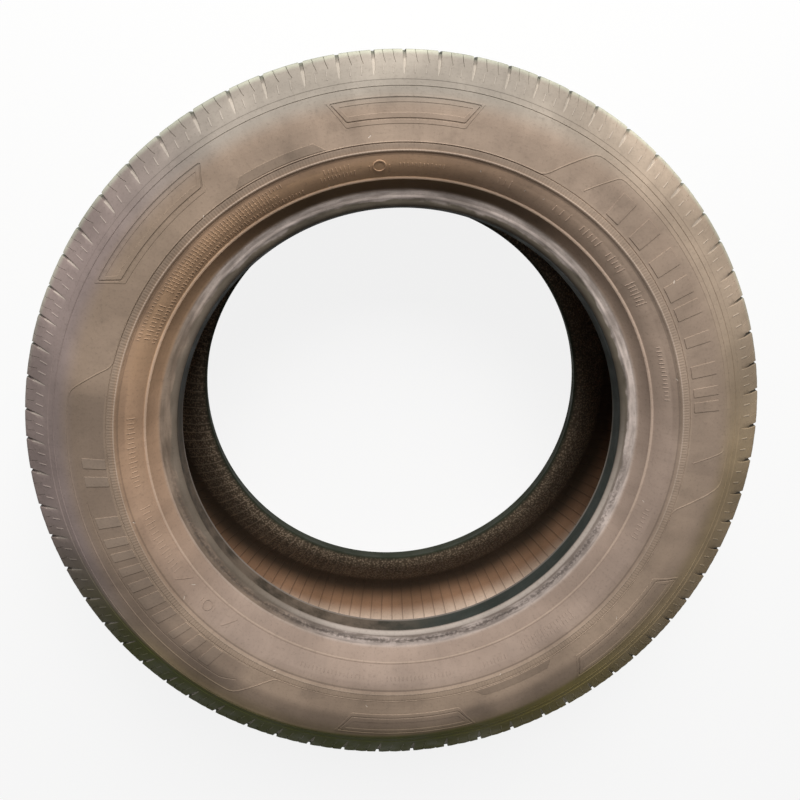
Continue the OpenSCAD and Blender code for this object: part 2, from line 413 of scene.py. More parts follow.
class Sheet:
    """A flat layout in millimetres, cut into triangles.

    Its two ends carry the same points, so that it closes round the tyre.
    """

    def __init__(self, width):
        self.width = width
        self.points = []
        self.index = {}
        self.lines = set()
        self.reliefs = []

    def point(self, x, y):
        if abs(x) < 1e-3:
            x = 0.0
        if abs(x - self.width) < 1e-3:
            x = self.width
        key = (round(x, 4), round(y, 4))
        if key not in self.index:
            self.index[key] = len(self.points)
            self.points.append((x, y))
        return self.index[key]

    def line(self, path, closed=False):
        ids = [self.point(x, y) for x, y in path]
        for a, b in zip(ids, ids[1:] + ids[:1] if closed else ids[1:]):
            if a != b:
                self.lines.add((min(a, b), max(a, b)))

    def add(self, *reliefs):
        for relief in reliefs:
            self.reliefs.append(relief)
            for path, closed in relief.outlines:
                self.line(path, closed)

    def close(self, levels, gap):
        """Gives both ends the same points and joins them up."""
        ends = {round(y, 4): y for x, y in self.points if x in (0.0, self.width)}
        found = sorted(ends.values())
        found += [y for y in levels if min(abs(y - other) for other in found) > gap]
        for x in (0.0, self.width):
            self.line([(x, y) for y in sorted(found)])

    def fill(self, xs, ys, gap):
        """Adds a lattice of points wherever no line is near."""
        taken = set()
        for a, b in self.lines:
            (x0, y0), (x1, y1) = self.points[a], self.points[b]
            steps = max(1, math.ceil(math.hypot(x1 - x0, y1 - y0) / (gap * 0.7)))
            for i in range(steps + 1):
                u = int((x0 + (x1 - x0) * i / steps) // gap)
                v = int((y0 + (y1 - y0) * i / steps) // gap)
                taken.update((u + du, v + dv) for du in (-1, 0, 1) for dv in (-1, 0, 1))
        for j, y in enumerate(ys):
            for x in xs:
                x += (xs[1] - xs[0]) / 2 * (j % 2)
                if 0.5 < x < self.width - 0.5 and (int(x // gap), int(y // gap)) not in taken:
                    self.point(x, y)

    def cut(self):
        """Places, heights, tones and triangles of the layout."""
        flat = [Vector(p) for p in self.points]
        verts, _, faces, _, _, _ = delaunay_2d_cdt(flat, sorted(self.lines), [], 0, 1e-5, False)
        xy = np.array([tuple(v) for v in verts])
        xs, ys = xy[:, 0], xy[:, 1]
        sunk, raised, tones = np.zeros(len(xs)), np.zeros(len(xs)), np.zeros(len(xs))
        for relief in self.reliefs:
            x0, x1, y0, y1 = relief.box
            near = np.nonzero((xs >= x0) & (xs <= x1) & (ys >= y0) & (ys <= y1))[0]
            if len(near):
                up = relief.height(xs[near], ys[near])
                sunk[near] = np.minimum(sunk[near], up)
                raised[near] = np.maximum(raised[near], up)
                tones[near] += relief.tone * up / relief.up
        return xs, ys, sunk + raised, tones, np.array(faces)


class Skin:
    """The mesh of the whole tyre. Every sheet is laid on the section and joined up here."""

    def __init__(self):
        self.places = []
        self.reliefs = []
        self.tones = []
        self.inner = []
        self.faces = []
        self.count = 0

    def add(self, turn, r, z, faces, relief=0.0, tone=0.0, inner=0.0):
        """turn is the angle round the axis, in degrees."""
        a = np.radians(turn)
        self.places.append(np.stack([r * np.cos(a), r * np.sin(a), z + MIDDLE_Z], axis=1) * MM)
        self.reliefs.append(np.broadcast_to(relief, r.shape))
        self.tones.append(np.broadcast_to(tone, r.shape))
        self.inner.append(np.broadcast_to(inner, r.shape))
        self.faces += (np.asarray(faces) + self.count).tolist()
        self.count += len(r)

    def sweep(self, turns, outline, inner):
        """A band swept round the axis through the outline's points."""
        n = len(turns)
        line = np.array(outline)
        r, z = np.repeat(line[:, 0], n), np.repeat(line[:, 1], n)
        faces = []
        for j in range(len(outline) - 1):
            for i in range(n):
                k = (i + 1) % n
                faces.append((j * n + i, j * n + k, (j + 1) * n + k, (j + 1) * n + i))
        self.add(np.tile(turns, len(outline)), r, z, faces, inner=np.repeat(inner, n))

    def mesh(self, name):
        mesh = bpy.data.meshes.new(name)
        mesh.from_pydata(np.concatenate(self.places).tolist(), [], self.faces)
        for key, values in (("relief", self.reliefs), ("tone", self.tones), ("inner", self.inner)):
            layer = mesh.attributes.new(key, "FLOAT", "POINT")
            layer.data.foreach_set("value", np.concatenate(values).astype(np.float32))
        work = bmesh.new()
        work.from_mesh(mesh)
        bmesh.ops.remove_doubles(work, verts=work.verts, dist=3e-6)
        bmesh.ops.recalc_face_normals(work, faces=work.faces)
        work.to_mesh(mesh)
        work.free()
        mesh.shade_smooth()
        mesh.set_sharp_from_angle(angle=math.radians(28))
        return mesh


# ---------------------------------------------------------------- tread
def block_starts():
    """Angle at which each shoulder block starts, in degrees."""
    lengths = [BLOCK_LENGTHS[c] for c in BLOCK_ORDER]
    return 360 * np.concatenate([[0.0], np.cumsum(lengths)]) / sum(lengths)


STARTS = block_starts()
PITCHES = len(BLOCK_ORDER)
PITCH = math.tau * TYRE_R / PITCHES
CELL_STEPS = 5


def angle_at(block):
    """Angle at a place counted in blocks, so 2.5 is half way along the third."""
    whole = np.floor(block)
    index = whole.astype(int) % PITCHES
    length = STARTS[index + 1] - STARTS[index]
    return 360 * (whole // PITCHES) + STARTS[index] + (block - whole) * length


def tread_turns():
    """Angles of the points where the blocks meet the wall."""
    return angle_at(np.arange(PITCHES * CELL_STEPS) / CELL_STEPS - 0.25) % 360


def shoulder(cell, side):
    """Slot, sipes and ticks of one pitch of one shoulder. side is 1 above and -1 below."""
    slot_at = 0.25 if side > 0 else 0.75
    cell.add(Slot(slot_at * PITCH, side))
    top, corner, foot = OUTSIDE.of_z(66.0), OUTSIDE.of_z(HALF_TREAD - 2.5), OUTSIDE.of_r(320.5)
    for share in (0.34, 0.67):
        x = ((slot_at + share) % 1.0) * PITCH
        levels = [top, (top + corner) / 2, corner - 3, corner]
        levels += [(corner * 2 + foot) / 3, (corner + foot * 2) / 3, foot]
        leans = [-1.6, -0.4, 0.6, 0.8, 0.5, -0.1, -1.1]
        spine = [(x + side * lean, side * s) for lean, s in zip(leans, levels)]
        cell.add(Stroke(spine, 0.0, 0.3, -0.9))
        high, low = OUTSIDE.of_r(318.5), OUTSIDE.of_r(311.0)
        tick = [(x + side * 1.0, side * high), (x + side * 1.7, side * low)]
        cell.add(Stroke(tick, 0.6, 0.4, 0.35, tone=-0.34))


def middle_sipes(cell):
    """Zigzag sipes across the middle rib and the two beside it."""
    for side in (-1, 0, 1):
        low, high = (side * 29.0, side * 46.5) if side else (-11.0, 11.0)
        for share in (0.25, 0.75):
            spine = []
            for i in range(5):
                zig = 1.3 if i % 2 else -1.3
                spine.append((share * PITCH + zig * (side or 1), low + (high - low) * i / 4))
            cell.add(Stroke(spine, 0.0, 0.36, -2.4, tone=0.8))


def tread_cell():
    """One pitch of the tread: x runs along the pitch, y across the tread."""
    cell = Sheet(PITCH)
    for side in (1, -1):
        for z in (INNER_GROOVE_Z, OUTER_GROOVE_Z):
            floor = GROOVE_W / 2 - GROOVE_DRAFT
            edges = sorted(side * OUTSIDE.of_z(z + step * floor) for step in (-1, 1))
            cell.add(Ring(edges[0], edges[1], GROOVE_DRAFT, -GROOVE_DEPTH, PITCH, CELL_STEPS))
        shoulder(cell, side)
        cell.line([(PITCH * i / CELL_STEPS, side * TREAD_END) for i in range(CELL_STEPS + 1)])
    middle_sipes(cell)
    edge, foot = OUTSIDE.of_z(HALF_TREAD - SHOULDER_R), OUTSIDE.of_r(SHOULDER_FOOT[0])
    half = list(np.arange(2.5, edge, 5.0)) + list(np.linspace(edge, foot, 7)[:-1])
    half += list(np.arange(foot, TREAD_END - 1, 3.2))
    levels = [-s for s in reversed(half)] + half
    cell.close(levels, 1.0)
    cell.fill([PITCH * i / CELL_STEPS for i in range(CELL_STEPS + 1)], levels, 1.1)
    return cell


def lay_tread(skin):
    xs, ys, ups, tones, faces = tread_cell().cut()
    floor = ups < 0.5 - GROOVE_DEPTH
    middle = np.abs(ys) < OUTSIDE.of_z(OUTER_GROOVE_Z + GROOVE_W / 2)
    for i in range(PITCHES):
        turns = angle_at(i - 0.25 + xs / PITCH)
        gap = 360 / WEAR_BARS
        off = np.abs((turns - 12 + gap / 2) % gap - gap / 2)
        up = ups + np.where(floor & middle & (off < 1.1), WEAR_BAR_UP, 0.0)
        r, z = OUTSIDE.at(ys, up)
        skin.add(turns, r, z, faces, relief=up, tone=tones)


# ---------------------------------------------------------------- sidewall
SEAM = float(tread_turns()[np.argmin(np.abs(tread_turns() - 73.0))])
WALL_W = math.tau * FLAT_R
RINGS = 216             # steps round the wall's rings and the inside
# Angles at which the framed panels and the tabs start and end
PANELS = ((77.5, 102.5), (124.5, 150.5), (257.0, 283.0), (304.5, 331.0))
TABS = ((104.5, 122.5), (284.5, 302.5))
# Angle, radius, length and lean of each cut
NICKS = [
    (106.0, 229.6, 2.6, 0.2), (215.0, 234.0, 2.4, 1.2), (215.6, 244.8, 2.0, -1.0),
    (291.0, 249.6, 1.6, 1.5), (61.0, 240.0, 1.2, 0.8), (65.2, 239.0, 1.4, 0.3),
    (75.0, 241.0, 1.2, -0.5), (130.0, 256.4, 2.0, 1.0), (96.5, 262.0, 1.6, 1.4),
    (31.0, 270.5, 1.8, -1.2), (196.0, 247.5, 1.8, 0.9), (318.0, 268.0, 1.5, 1.1),
    (262.0, 262.5, 1.3, -1.3), (343.0, 232.5, 1.6, 0.6), (241.0, 249.0, 1.4, 1.6),
    (12.0, 247.0, 1.5, 1.2),
]
# Angles at which each plain bar starts and ends, on the two fields
WIDE_BARS = [
    (4.5, 6.6), (7.6, 9.4), (11.5, 14.0), (17.8, 20.0), (23.5, 26.3),
    (27.6, 31.0), (33.2, 36.8), (39.8, 43.2), (46.4, 49.6),
]
TALL_BARS = [
    (182.0, 184.0), (185.5, 187.5), (193.6, 195.8), (198.0, 199.8), (201.0, 202.8), (204.2, 206.0),
    (207.6, 209.6), (211.0, 213.8), (215.2, 217.2), (219.8, 221.4), (223.4, 225.6), (227.4, 229.8),
]
# Start, end, radius, height and spacing of each row of ticks, the first two and the last in degrees
TICK_ROWS = [
    (7.0, 20.0, 238.0, 3.6, 0.9), (29.5, 35.5, 238.5, 7.5, 0.9), (38.0, 43.5, 238.5, 6.5, 1.1),
    (45.5, 51.5, 238.5, 6.5, 1.1), (53.5, 59.0, 238.5, 6.5, 1.6), (67.8, 71.6, 238.5, 6.0, 1.3),
    (82.0, 91.5, 238.5, 3.0, 0.8), (99.8, 107.5, 235.6, 3.0, 0.8), (100.8, 106.5, 241.0, 3.4, 0.8),
    (111.0, 157.5, 232.0, 2.6, 0.75), (116.0, 146.0, 236.9, 2.4, 0.75), (117.5, 146.0, 240.3, 2.4, 0.75),
    (114.5, 157.5, 243.4, 2.6, 0.75), (148.5, 157.0, 237.4, 5.0, 0.9), (173.5, 189.5, 237.2, 6.0, 1.1),
    (193.5, 210.5, 236.5, 7.0, 1.2), (245.5, 261.0, 237.5, 2.8, 0.9), (265.5, 281.0, 237.8, 3.0, 0.9),
    (288.0, 294.0, 238.5, 3.4, 0.9), (298.0, 312.0, 235.2, 3.0, 0.85), (298.0, 312.0, 239.3, 3.0, 0.85),
    (334.0, 342.0, 237.0, 4.0, 1.0),
]


def on_wall(turn, r):
    """Place on the flat layout of a wall for an angle in degrees and a radius."""
    if turn < SEAM - 1e-6:
        turn += 360
    return math.radians(turn - SEAM) * FLAT_R, OUTSIDE.of_r(r)


def on_wall_all(places):
    return [on_wall(turn, r) for turn, r in places]


def band(r_out, r_in, slope, up):
    """A ring round the wall between two radii."""
    return Ring(OUTSIDE.of_r(r_out), OUTSIDE.of_r(r_in), slope, up, WALL_W, RINGS)


def basin_edge():
    """The thin ridge that frames the plain fields between the two wide panels."""
    tall = [(163.5, 256.5), (169.5, 288.0), (236.0, 288.0), (242.0, 256.5)]
    wide = [(343.5, 256.5), (350.0, 294.5), (417.0, 294.5), (423.5, 256.5)]
    places = [(SEAM, 256.5), *tall, *wide, (SEAM + 360, 256.5)]
    return Stroke(bent(on_wall_all(places), 6.0), 0.5, 0.45, 0.45, capped=False)


def trapezoid(start, end, r_out, r_in, inset):
    """A panel outline whose short side is nearer the axis."""
    return on_wall_all([(start, r_out), (end, r_out), (end - inset, r_in), (start + inset, r_in)])


def framed_panel(start, end):
    """A raised frame with a groove along it."""
    outer = trapezoid(start - 0.4, end + 0.4, 293.2, 270.6, 2.6)
    inner = trapezoid(start + 1.5, end - 1.5, 287.8, 279.3, 1.2)
    groove = trapezoid(start + 0.3, end - 0.3, 291.2, 274.8, 2.1)
    return [
        Patch(bent(outer, 1.5, True), 0.4, 0.35),
        Patch(bent(inner, 1.0, True), 0.4, -0.35),
        Stroke(bent(groove, 1.5, True), 0.8, 0.4, -0.6, closed=True, tone=0.3),
    ]


def tab(start, end):
    shape = [(start, 257.6), (start + 2.0, 265.5), (end - 2.0, 265.5), (end, 257.6)]
    return Patch(on_wall_all(shape), 0.4, 0.4, tone=0.35)


def bars(spans, r_out, r_in, lean, up, tone):
    """Plain raised bars, each given by the angles at which it starts and ends."""
    shapes = []
    for start, end in spans:
        shape = [(start, r_in), (end, r_in), (end + lean, r_out), (start + lean, r_out)]
        shapes.append(Patch(bent(on_wall_all(shape), 1.0, True), 0.4, up, tone))
    return shapes


def ticks(start, end, r, height, pitch):
    """A row of short plain ticks round the wall."""
    count = max(1, round((end - start) / pitch))
    marks = []
    for i in range(count):
        turn = start + (i + 0.5) * (end - start) / count
        tall = height * (0.7 if i % 3 else 1.0)
        ends = on_wall_all([(turn, r + tall / 2), (turn, r - tall / 2)])
        marks.append(Stroke(ends, 0.45, 0.3, 0.35, tone=-0.25))
    return marks


def ring_mark(turn, r, radius):
    """A plain raised circle with a tick at each side."""
    cx, cy = on_wall(turn, r)
    squash = r / FLAT_R
    loop = []
    for i in range(20):
        a = math.tau * i / 20
        loop.append((cx + radius * math.cos(a) / squash, cy + radius * math.sin(a)))
    marks = [Stroke(loop, 0.8, 0.35, 0.6, closed=True, tone=-0.12)]
    for step in (-1, 1):
        x = cx + step * (radius + 3) / squash
        marks.append(Stroke([(x, cy - 1), (x, cy + 3)], 0.6, 0.3, 0.4))
    return marks


def nicks():
    """Small pale cuts and chips."""
    marks = []
    for turn, r, length, lean in NICKS:
        x, y = on_wall(turn, r)
        ends = [(x - lean * length / 2, y - length / 2), (x + lean * length / 2, y + length / 2)]
        marks.append(Stroke(ends, 0.3, 0.35, -0.3, tone=-1.0))
    return marks


def slashes():
    """A short slanting bar at each side of the second ring mark."""
    marks = []
    for turn in (212.5, 227.0):
        marks.append(Stroke(on_wall_all([(turn - 1.2, 241.0), (turn + 1.2, 231.5)]), 0.8, 0.4, 0.45))
    return marks


def fields():
    """The frames, fields and panels between the two ring lines."""
    frame_line = on_wall_all([(354.0, 263.0), (356.5, 290.5), (411.5, 290.5), (415.5, 263.0)])
    hook = on_wall_all([(190.0, 280.0), (232.5, 280.0), (235.2, 274.5)])
    shapes = [basin_edge()]
    for start, end in PANELS:
        shapes += framed_panel(start, end)
    shapes += [tab(start, end) for start, end in TABS]
    shapes.append(Stroke(bent(frame_line, 4.0), 0.5, 0.4, 0.35))
    shapes.append(Stroke(bent(hook, 4.0), 0.6, 0.4, -0.35))
    shapes += bars(WIDE_BARS, 283.0, 259.6, 0.0, 0.6, -0.03)
    return shapes + bars(TALL_BARS, 277.5, 257.6, -0.6, 0.6, -0.17)


def small_marks():
    marks = []
    for row in TICK_ROWS:
        marks += ticks(*row)
    return marks + ring_mark(95.2, 238.0, 5.2) + ring_mark(220.5, 236.5, 4.4) + nicks() + slashes()


def wall_sheet(way):
    """The flat layout of one sidewall: x round the tyre, y from the blocks to the rim line.

    way is 1 for the upper wall and -1 for the lower one.
    """
    sheet = Sheet(WALL_W)
    turns = np.round((way * (tread_turns() - SEAM)) % 360, 6) % 360
    foot = [(math.radians(turn) * FLAT_R, TREAD_END) for turn in sorted(turns)]
    sheet.line(foot + [(WALL_W, TREAD_END)])
    xs = [WALL_W * i / RINGS for i in range(RINGS + 1)]
    sheet.line([(x, WALL_END) for x in xs])
    for r, z in CORNERS:
        s = float(OUTSIDE.s[np.argmin(np.hypot(OUTSIDE.r - r, OUTSIDE.z - z))])
        sheet.line([(x, s) for x in xs])
    sheet.add(band(306.0, 301.9, 0.5, -0.4), band(300.8, 300.3, 0.4, -0.6))
    sheet.add(*fields(), *small_marks())
    levels = list(np.arange(TREAD_END + 2.0, WALL_END - 1.5, 4.2))
    sheet.close(levels, 1.6)
    sheet.fill(list(np.arange(0, WALL_W, 5.4)), levels, 1.5)
    return sheet


def lay_wall(skin, side):
    """The upper wall with side 1, and the same wall seen from below with side -1."""
    xs, ys, ups, tones, faces = wall_sheet(side).cut()
    r, z = OUTSIDE.at(side * ys, ups)
    skin.add(SEAM + side * np.degrees(xs / FLAT_R), r, z, faces, relief=ups, tone=tones)


def lay_inside(skin):
    bead, liner = bead_half(), liner_half()
    half = bead + liner
    flags = [0.0] * len(bead) + [1.0] * len(liner)
    outline = half + [(r, -z) for r, z in reversed(half[:-1])]
    turns = SEAM + np.arange(RINGS) * 360 / RINGS
    skin.sweep(turns, outline, np.array(flags + flags[:-1][::-1]))


# ---------------------------------------------------------------- rubber
RIB_OUT = MID_RIB_R + MID_RIB_W / 2
RIB_IN = MID_RIB_R - MID_RIB_W / 2
FLANGE_R = SEAT_R + FLANGE_H    # where the wall turns up round the rim's flange
LINER_RIBS = 144
MID_RIB_TEETH = 620


class Graph:
    """Short names for building the nodes of a material or a world."""

    def __init__(self, owner, shader="Principled BSDF"):
        owner.use_nodes = True
        self.tree = owner.node_tree
        self.shader = self.tree.nodes[shader]

    def put(self, value, socket):
        """Gives a socket its value: another socket, a number, or a colour as three numbers."""
        if isinstance(value, bpy.types.NodeSocket):
            self.tree.links.new(value, socket)
        elif isinstance(value, tuple):
            socket.default_value = (*value, 1)
        else:
            socket.default_value = value

    def set(self, name, value):
        self.put(value, self.shader.inputs[name])

    def node(self, kind, inputs, output=0, **settings):
        """One output of a new node whose inputs are given by name or number."""
        node = self.tree.nodes.new(kind)
        for key, value in settings.items():
            setattr(node, key, value)
        for key, value in inputs.items():
            self.put(value, node.inputs[key])
        return node.outputs[output]

    def math(self, operation, *values):
        return self.node("ShaderNodeMath", dict(enumerate(values)), operation=operation)

    def times(self, product, *others):
        for value in others:
            product = self.math("MULTIPLY", product, value)
        return product

    def step(self, value, low, high, to_low=0.0, to_high=1.0):
        """Goes smoothly from to_low to to_high as the value goes from low to high."""
        inputs = dict(enumerate((value, low, high, to_low, to_high)))
        return self.node("ShaderNodeMapRange", inputs, interpolation_type="SMOOTHSTEP")

    def mix(self, share, a, b):
        return self.node("ShaderNodeMix", {0: share, 6: a, 7: b}, 2, data_type="RGBA")

    def shade(self, colour, level):
        """The colour made lighter or darker by a grey level."""
        inputs = {0: 1.0, 6: colour, 7: level}
        return self.node("ShaderNodeMix", inputs, 2, data_type="RGBA", blend_type="MULTIPLY")

    def noise(self, where, scale, detail=4.0, rough=0.55):
        inputs = {"Vector": where, "Scale": scale, "Detail": detail, "Roughness": rough}
        return self.node("ShaderNodeTexNoise", inputs)

    def bump(self, height, strength, distance, **below):
        """Relief over what lies below it, given as Normal. The distance is in metres."""
        inputs = {"Height": height, "Strength": strength, "Distance": distance, **below}
        return self.node("ShaderNodeBump", inputs)


class Places:
    """Where a point of the tyre lies, as sockets in millimetres, and the noises there.

    r is its distance from the axis, z its height and h its distance from the middle plane. cos, sin and
    turn give its angle round the axis. relief, tone and inner come from the mesh.
    """

    def __init__(self, g):
        self.g = g
        point = g.node("ShaderNodeTexCoord", {}, "Object")
        in_mm = g.node("ShaderNodeVectorMath", {0: point, "Scale": 1 / MM}, operation="SCALE")
        x, y, self.z = g.node("ShaderNodeSeparateXYZ", {0: in_mm}).node.outputs
        self.r = g.math("SQRT", g.math("ADD", g.times(x, x), g.times(y, y)))
        self.cos = g.math("DIVIDE", x, self.r)
        self.sin = g.math("DIVIDE", y, self.r)
        self.turn = g.math("ARCTAN2", y, x)
        self.h = g.math("ABSOLUTE", g.math("SUBTRACT", self.z, MIDDLE_Z))
        for name in ("relief", "tone", "inner"):
            setattr(self, name, g.node("ShaderNodeAttribute", {}, "Fac", attribute_name=name))
        self.cloud = g.noise(point, 9.0, 5.0, 0.6)
        self.patch = g.noise(point, 19.0, 3.0, 0.5)
        self.blotch = g.noise(point, 34.0, 5.0, 0.65)
        self.speck = g.noise(point, 330.0, 2.0, 0.6)
        self.grain = g.noise(point, 420.0, 3.0, 0.6)
        self.cell = g.node("ShaderNodeTexVoronoi", {"Vector": point, "Scale": 420.0}, "Distance")
        self.rings = self.stretched(1.4, 0.26)
        self.streak = self.stretched(7.0, 0.17, detail=2.5)
        self.radial = self.stretched(60.0, 0.014)

    def stretched(self, along, across, detail=4.0):
        """Noise drawn out round the tyre where along is small, across it where across is small."""
        g = self.g
        over = g.times(g.math("SUBTRACT", self.r, self.h), across)
        inputs = {0: g.times(self.cos, along), 1: g.times(self.sin, along), 2: over}
        return g.noise(g.node("ShaderNodeCombineXYZ", inputs), 1.0, detail)

    def spokes(self, count):
        """0 on each of a number of lines across the tyre, rising to 1 half way between two."""
        g = self.g
        part = g.math("FRACT", g.times(self.turn, count / math.tau))
        return g.times(g.math("ABSOLUTE", g.math("SUBTRACT", part, 0.5)), 2.0)

    def near(self, degrees, outer, inner):
        """1 near an angle, fading to 0. Both reaches are cosines of the angle away from it."""
        a = math.radians(degrees)
        along = self.g.times(self.cos, math.cos(a))
        return self.g.step(self.g.math("MULTIPLY_ADD", self.sin, math.sin(a), along), outer, inner)

    def ring(self, low, high, soft):
        """1 between two radii, fading out over soft."""
        g = self.g
        return g.times(g.step(self.r, low - soft, low), g.step(self.r, high + soft, high))


def dust_colour(g, at):
    """Dust over the wall above the mid rib, painted paler towards the lamp's side as painted light, and
    darker between the bars.
    """
    dust = g.mix(at.cloud, (0.205, 0.152, 0.112), (0.355, 0.267, 0.203))
    paler = g.mix(at.cloud, (0.3, 0.225, 0.17), (0.44, 0.34, 0.27))
    # painted light: the dust is painted paler towards the upper right, the side from which the lamp
    # shines
    dust = g.mix(g.step(g.math("ADD", at.cos, at.sin), 0.0, 1.3, 0.0, 0.75), dust, paler)
    dust = g.mix(g.step(at.blotch, 0.5, 0.75, 0.0, 0.35), dust, (0.15, 0.115, 0.09))
    tall = g.times(at.ring(258.5, 287.0, 1.0), at.near(203, 0.825, 0.85), 0.3)
    wide = g.times(at.ring(258.5, 289.5, 1.0), at.near(23, 0.85, 0.862), 0.16)
    return g.mix(g.math("MAXIMUM", tall, wide), dust, (0.13, 0.098, 0.08))


def lower_wall_colour(g, at):
    """The wall between the mid rib and the rim line, paler on one side."""
    lower = g.mix(at.cloud, (0.27, 0.205, 0.166), (0.37, 0.283, 0.232))
    return g.mix(g.step(at.sin, -0.2, 0.9, 0.0, 0.9), lower, (0.53, 0.4, 0.31))


def stains_and_painted_shade(g, at, colour):
    """A brown stain on one side of the lower wall, with patchy painted shade just inside the mid rib and
    painted shade on the slope above the seat, strongest on the lamp's side of the tyre, where those
    slopes face away from the lamp.
    """
    side = g.math("SUBTRACT", at.sin, g.times(at.cos, 0.9))
    reach = g.times(g.step(side, -0.2, 1.1), g.step(at.r, 254.0, 246.0), 0.85)
    stain = g.mix(at.blotch, (0.3, 0.18, 0.105), (0.48, 0.31, 0.2))
    colour = g.mix(reach, colour, stain)
    # painted shade: a patchy dark band just inside the mid rib's step, weaker on the side of the tyre
    # away from the lamp
    rib_step_shade = g.times(at.ring(242.5, 247.5, 2.0), g.step(at.cloud, 0.62, 0.42, 0.0, 0.3))
    rib_step_shade = g.times(rib_step_shade, g.step(at.sin, -0.9, 0.2, 0.5, 1.0))
    colour = g.mix(rib_step_shade, colour, (0.1, 0.07, 0.05))
    rusty = g.times(at.near(122, 0.6, 0.95), g.step(at.r, 246.0, 240.0), 0.32)
    colour = g.mix(rusty, colour, (0.66, 0.42, 0.24))
    rib = g.times(at.ring(RIB_IN - 0.5, RIB_OUT + 0.3, 0.8), at.near(110, 0.5, 0.92), 0.4)
    colour = g.mix(rib, colour, (0.13, 0.095, 0.072))
    # painted shade: the slope above the seat is painted near black on the lamp's side of the tyre, where
    # it faces away from the lamp
    slope = at.ring(FLANGE_R + 2.2, RIM_LINE_R - 1.1, 1.0)
    return g.mix(g.times(slope, at.near(92, 0.6, 0.96), 0.85), colour, (0.034, 0.018, 0.003))


def flange_colour(g, at):
    """Scuffs left by the rim's flange, brown and smooth on one side, with painted shade on the seat's
    edges and a painted highlight where the wall turns up from it.
    """
    pale = g.mix(g.step(at.streak, 0.32, 0.68), (0.27, 0.228, 0.205), (0.54, 0.46, 0.42))
    # painted shade: on the lamp's side of the tyre the seat's two edges are painted darker, as if shaded
    # by the rim line's ridge and the heel's turn
    middle = at.ring(FLANGE_R - 4.3, FLANGE_R - 0.3, 2.2)
    shaded = g.shade(pale, g.step(middle, 0.0, 1.0, 0.55, 1.0))
    pale = g.mix(g.step(at.sin, -0.3, 0.4), pale, shaded)
    brown = g.mix(g.step(at.streak, 0.3, 0.7), (0.14, 0.106, 0.08), (0.255, 0.195, 0.15))
    flange = g.mix(at.near(195, 0.45, 0.85), pale, brown)
    worn = g.times(at.ring(FLANGE_R - 5.8, FLANGE_R - 2.8, 2.0), g.step(at.sin, 0.1, -0.5))
    pits = g.times(worn, g.step(at.speck, 0.64, 0.4, 0.0, 0.6))
    flange = g.mix(pits, flange, (0.085, 0.07, 0.062))
    # painted highlight: a pale line where the wall turns up from the seat, on the side of the tyre where
    # that turn faces the lamp
    edge = at.ring(FLANGE_R + 1.3, FLANGE_R + 2.5, 0.6)
    edge = g.times(edge, g.step(at.sin, 0.2, -0.6, 0.0, 0.45))
    return g.mix(edge, flange, (0.62, 0.51, 0.44))


def heel_colour(g, at):
    """The heel: painted light with a painted highlight band on the side facing the lamp, painted shade
    on the sides turned from it, and earthy brown on one side.
    """
    # painted light and shade: the heel's rubber in a dark copy for the side turned from the lamp, and a
    # lit copy with a highlight band for the side facing it
    dark = g.mix(at.streak, (0.03, 0.026, 0.019), (0.16, 0.132, 0.1))
    lit_heel = g.mix(at.streak, (0.17, 0.138, 0.118), (0.33, 0.275, 0.243))
    heel_highlight = at.ring(SEAT_R + 1.4, SEAT_R + 3.2, 1.4)
    lit_heel = g.mix(heel_highlight, lit_heel, (0.41, 0.355, 0.315))
    heel = g.mix(at.near(282, 0.0, 0.8), dark, lit_heel)
    earthy = g.mix(at.streak, (0.1, 0.08, 0.06), (0.21, 0.172, 0.138))
    return g.mix(at.near(190, 0.4, 0.85), heel, earthy)


def shoulder_colour(g, at):
    """The shoulder: pale dust on one side, brown and grey towards the others, with a painted
    greenish-white highlight along the outer edge on the side facing the lamp.
    """
    top = g.mix(g.step(at.cos, 0.2, 0.85), (0.318, 0.28, 0.238), (0.385, 0.3, 0.228))
    top = g.mix(g.step(at.cos, -0.15, -0.6), top, (0.268, 0.235, 0.203))
    pale = g.mix(g.step(at.sin, -0.2, 0.5), (0.26, 0.195, 0.12), top)
    dusty = g.mix(at.near(172, 0.6, 0.92), pale, (0.262, 0.207, 0.192))
    # painted highlight: a greenish-white glow along the shoulder's outer edge where it faces the lamp
    rim = g.times(g.step(at.r, 326.2, 331.5, 0.0, 0.6), g.step(at.sin, 0.0, 0.6))
    dusty = g.mix(rim, dusty, (0.5, 0.53, 0.42))
    return g.shade(dusty, g.step(at.cloud, 0.3, 0.7, 0.84, 1.16))


def wall_shade_and_bare_rubber(g, at, colour):
    """Painted light and shade over the wall on the side away from the lamp, and bare olive rubber over
    part of the shoulder, its darkness there partly painted shade.
    """
    # painted light and shade: on the side of the tyre away from the lamp the wall is painted lighter
    # below about 268 mm and darker above about 279 mm
    level = g.step(at.r, 268.0, 279.0, 0.2, -0.26)
    wall = g.times(g.step(at.sin, -0.2, -0.8), g.step(at.r, 300.0, 293.0), g.step(at.r, 247.0, 251.0))
    colour = g.shade(colour, g.math("MULTIPLY_ADD", wall, level, 1.0))
    # bare rubber where the dust is off, olive and near-black green; its darkness on the side away from
    # the lamp is partly painted shade
    reach = g.step(g.math("MULTIPLY_ADD", at.cos, 8.0, at.r), 293.5, 299.5)
    olive = g.shade((0.132, 0.108, 0.034), g.step(at.blotch, 0.3, 0.7, 0.8, 1.25))
    colour = g.mix(g.times(reach, g.step(at.sin, -0.5, -0.95)), colour, olive)
    green = g.shade((0.04, 0.043, 0.011), g.step(at.blotch, 0.3, 0.7, 0.75, 1.3))
    return g.mix(g.times(reach, at.near(245, 0.55, 0.93)), colour, green)


